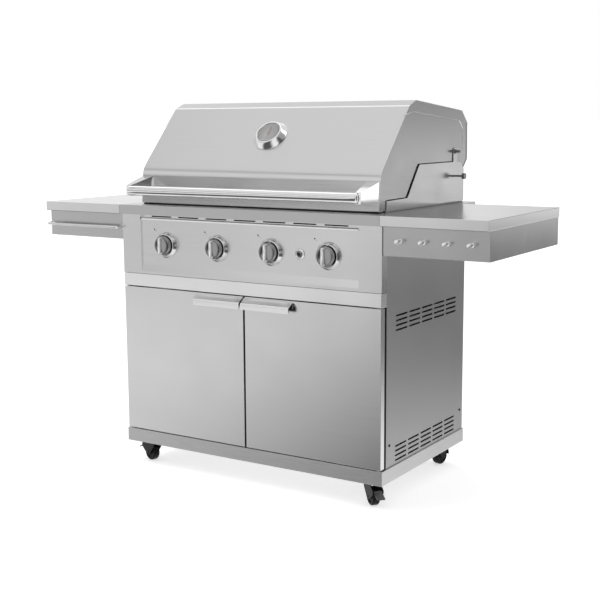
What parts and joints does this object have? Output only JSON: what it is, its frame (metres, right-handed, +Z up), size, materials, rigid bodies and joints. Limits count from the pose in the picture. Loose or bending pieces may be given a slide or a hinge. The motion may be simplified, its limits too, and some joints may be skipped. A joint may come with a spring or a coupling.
{
  "type": "gas barbecue grill",
  "caption": "Cabinet gas barbecue on casters: hinged hood with a tube handle and gauge, knobs along a sloped-edge panel, double doors, side shelves with a towel bar and hooks.",
  "frame": {"origin": "on the floor, under the middle of the whole object's bounding box", "axes": "+X to the right of the cook who faces the doors, +Y from the cook to the back, +Z up"},
  "size_m": [1.684, 0.7379, 1.2438],
  "materials": {
    "brushed_steel": "brushed stainless steel",
    "polished_chrome": "polished chrome",
    "black_enamel": "black enamel",
    "black_plastic": "black plastic",
    "plinth_paint": "silver grey powder coat",
    "knob_metal": "satin chrome over plastic",
    "valve_brass": "machined brass",
    "galvanised": "galvanised steel",
    "cast_iron": "seasoned cast iron",
    "dial_print": "printed dial",
    "gauge_glass": "clear glass",
    "needle_red": "painted",
    "caster_tyre": "moulded rubber",
    "zinc": "zinc plated"
  },
  "bodies": {
    "cart": {"back_panel": "galvanised", "base_plinth": "plinth_paint", "burners": "galvanised", "caster_plates": "zinc", "control_panel": "brushed_steel", "cooking_grates": "cast_iron", "fire_box": "galvanised", "flame_tamers": "zinc", "gas_manifold": "galvanised", "gas_valves": "valve_brass", "header_rail": "brushed_steel", "hinge_pins": "zinc", "hood_base": "brushed_steel", "hood_bolts": "zinc", "igniter_bezel": "polished_chrome", "knob_bezels": "polished_chrome", "shelf_skirts": "brushed_steel", "shelf_top_left": "brushed_steel", "shelf_top_right": "brushed_steel", "side_panel_left": "brushed_steel", "side_panel_right": "brushed_steel", "spark_module": "black_plastic", "tool_hooks": "polished_chrome", "top_frame": "brushed_steel", "towel_bar": "polished_chrome", "warming_rack": "zinc"},
    "lid": {"lid_skin": "brushed_steel", "lid_ends": "brushed_steel", "lid_liner": "galvanised", "handle_tube": "polished_chrome", "handle_brackets": "polished_chrome", "thermometer_bezel": "polished_chrome", "thermometer_dial": "dial_print", "thermometer_lens": "gauge_glass"},
    "needle": {"thermometer_needle": "needle_red"},
    "left_door": {"door_left": "brushed_steel", "door_pull_left": "polished_chrome"},
    "right_door": {"door_right": "brushed_steel", "door_pull_right": "polished_chrome"},
    "igniter": {"igniter_button": "black_plastic"},
    "tray": {"grease_tray": "galvanised"},
    "stem_1": {"valve_stem_1": "zinc"},
    "knob_1": {"knob_1": "knob_metal"},
    "stem_2": {"valve_stem_2": "zinc"},
    "knob_2": {"knob_2": "knob_metal"},
    "stem_3": {"valve_stem_3": "zinc"},
    "knob_3": {"knob_3": "knob_metal"},
    "stem_4": {"valve_stem_4": "zinc"},
    "knob_4": {"knob_4": "knob_metal"},
    "fork_front_left": {"caster_fork_front_left": "black_enamel"},
    "wheel_front_left": {"caster_wheel_front_left": "caster_tyre"},
    "brake_front_left": {"brake_pedal_front_left": "black_enamel"},
    "fork_front_right": {"caster_fork_front_right": "black_enamel"},
    "wheel_front_right": {"caster_wheel_front_right": "caster_tyre"},
    "brake_front_right": {"brake_pedal_front_right": "black_enamel"},
    "fork_rear_left": {"caster_fork_rear_left": "black_enamel"},
    "wheel_rear_left": {"caster_wheel_rear_left": "caster_tyre"},
    "fork_rear_right": {"caster_fork_rear_right": "black_enamel"},
    "wheel_rear_right": {"caster_wheel_rear_right": "caster_tyre"}
  },
  "joints": [
    {"name": "lid_hinge", "type": "hinge", "parent": "cart", "child": "lid", "pos_m": [0, 0.264, 1.078], "axis": [-1, 0, 0], "range_deg": [0, 90]},
    {"name": "left_door_hinge", "type": "hinge", "parent": "cart", "child": "left_door", "pos_m": [-0.487, -0.309, 0.378], "axis": [0, 0, -1], "range_deg": [0, 115]},
    {"name": "right_door_hinge", "type": "hinge", "parent": "cart", "child": "right_door", "pos_m": [0.487, -0.309, 0.378], "axis": [0, 0, 1], "range_deg": [0, 115]},
    {"name": "stem_1_push", "type": "slide", "parent": "cart", "child": "stem_1", "axis": [0, 1, 0], "range_m": [0, 0.003], "stiffness_N_per_m": 600, "springref_m": -0.002},
    {"name": "knob_1_turn", "type": "hinge", "parent": "stem_1", "child": "knob_1", "pos_m": [-0.315, -0.331, 0.776], "axis": [0, 1, 0], "range_deg": [-180, 0]},
    {"name": "stem_2_push", "type": "slide", "parent": "cart", "child": "stem_2", "axis": [0, 1, 0], "range_m": [0, 0.003], "stiffness_N_per_m": 600, "springref_m": -0.002},
    {"name": "knob_2_turn", "type": "hinge", "parent": "stem_2", "child": "knob_2", "pos_m": [-0.105, -0.331, 0.776], "axis": [0, 1, 0], "range_deg": [-180, 0]},
    {"name": "stem_3_push", "type": "slide", "parent": "cart", "child": "stem_3", "axis": [0, 1, 0], "range_m": [0, 0.003], "stiffness_N_per_m": 600, "springref_m": -0.002},
    {"name": "knob_3_turn", "type": "hinge", "parent": "stem_3", "child": "knob_3", "pos_m": [0.105, -0.331, 0.776], "axis": [0, 1, 0], "range_deg": [-180, 0]},
    {"name": "stem_4_push", "type": "slide", "parent": "cart", "child": "stem_4", "axis": [0, 1, 0], "range_m": [0, 0.003], "stiffness_N_per_m": 600, "springref_m": -0.002},
    {"name": "knob_4_turn", "type": "hinge", "parent": "stem_4", "child": "knob_4", "pos_m": [0.315, -0.331, 0.776], "axis": [0, 1, 0], "range_deg": [-180, 0]},
    {"name": "igniter_push", "type": "slide", "parent": "cart", "child": "igniter", "axis": [0, 1, 0], "range_m": [0, 0.004], "stiffness_N_per_m": 400, "springref_m": -0.002},
    {"name": "needle_turn", "type": "hinge", "parent": "lid", "child": "needle", "pos_m": [0, -0.1557, 1.13262], "axis": [0, -0.7368, 0.6762], "range_deg": [-250, 0]},
    {"name": "tray_slide", "type": "slide", "parent": "cart", "child": "tray", "axis": [0, 1, 0], "range_m": [0, 0.4]},
    {"name": "front_left_swivel", "type": "hinge", "parent": "cart", "child": "fork_front_left", "pos_m": [-0.434, -0.261, 0.07], "axis": [0, 0, 1], "continuous": true},
    {"name": "front_left_roll", "type": "hinge", "parent": "fork_front_left", "child": "wheel_front_left", "pos_m": [-0.45121, -0.25574, 0.03], "axis": [-0.2924, -0.9563, 0], "continuous": true},
    {"name": "front_left_brake", "type": "hinge", "parent": "fork_front_left", "child": "brake_front_left", "pos_m": [-0.48277, -0.24609, 0.05], "axis": [-0.2924, -0.9563, 0], "range_deg": [0, 20]},
    {"name": "front_right_swivel", "type": "hinge", "parent": "cart", "child": "fork_front_right", "pos_m": [0.434, -0.261, 0.07], "axis": [0, 0, 1], "continuous": true},
    {"name": "front_right_roll", "type": "hinge", "parent": "fork_front_right", "child": "wheel_front_right", "pos_m": [0.44818, -0.27208, 0.03], "axis": [0.6157, 0.788, 0], "continuous": true},
    {"name": "front_right_brake", "type": "hinge", "parent": "fork_front_right", "child": "brake_front_right", "pos_m": [0.47419, -0.2924, 0.05], "axis": [0.6157, 0.788, 0], "range_deg": [0, 20]},
    {"name": "rear_left_swivel", "type": "hinge", "parent": "cart", "child": "fork_rear_left", "pos_m": [-0.434, 0.209, 0.07], "axis": [0, 0, 1], "continuous": true},
    {"name": "rear_left_roll", "type": "hinge", "parent": "fork_rear_left", "child": "wheel_rear_left", "pos_m": [-0.44959, 0.218, 0.03], "axis": [-0.5, -0.866, 0], "continuous": true},
    {"name": "rear_right_swivel", "type": "hinge", "parent": "cart", "child": "fork_rear_right", "pos_m": [0.434, 0.209, 0.07], "axis": [0, 0, 1], "continuous": true},
    {"name": "rear_right_roll", "type": "hinge", "parent": "fork_rear_right", "child": "wheel_rear_right", "pos_m": [0.43713, 0.22673, 0.03], "axis": [-0.9848, 0.1736, 0], "continuous": true}
  ]
}
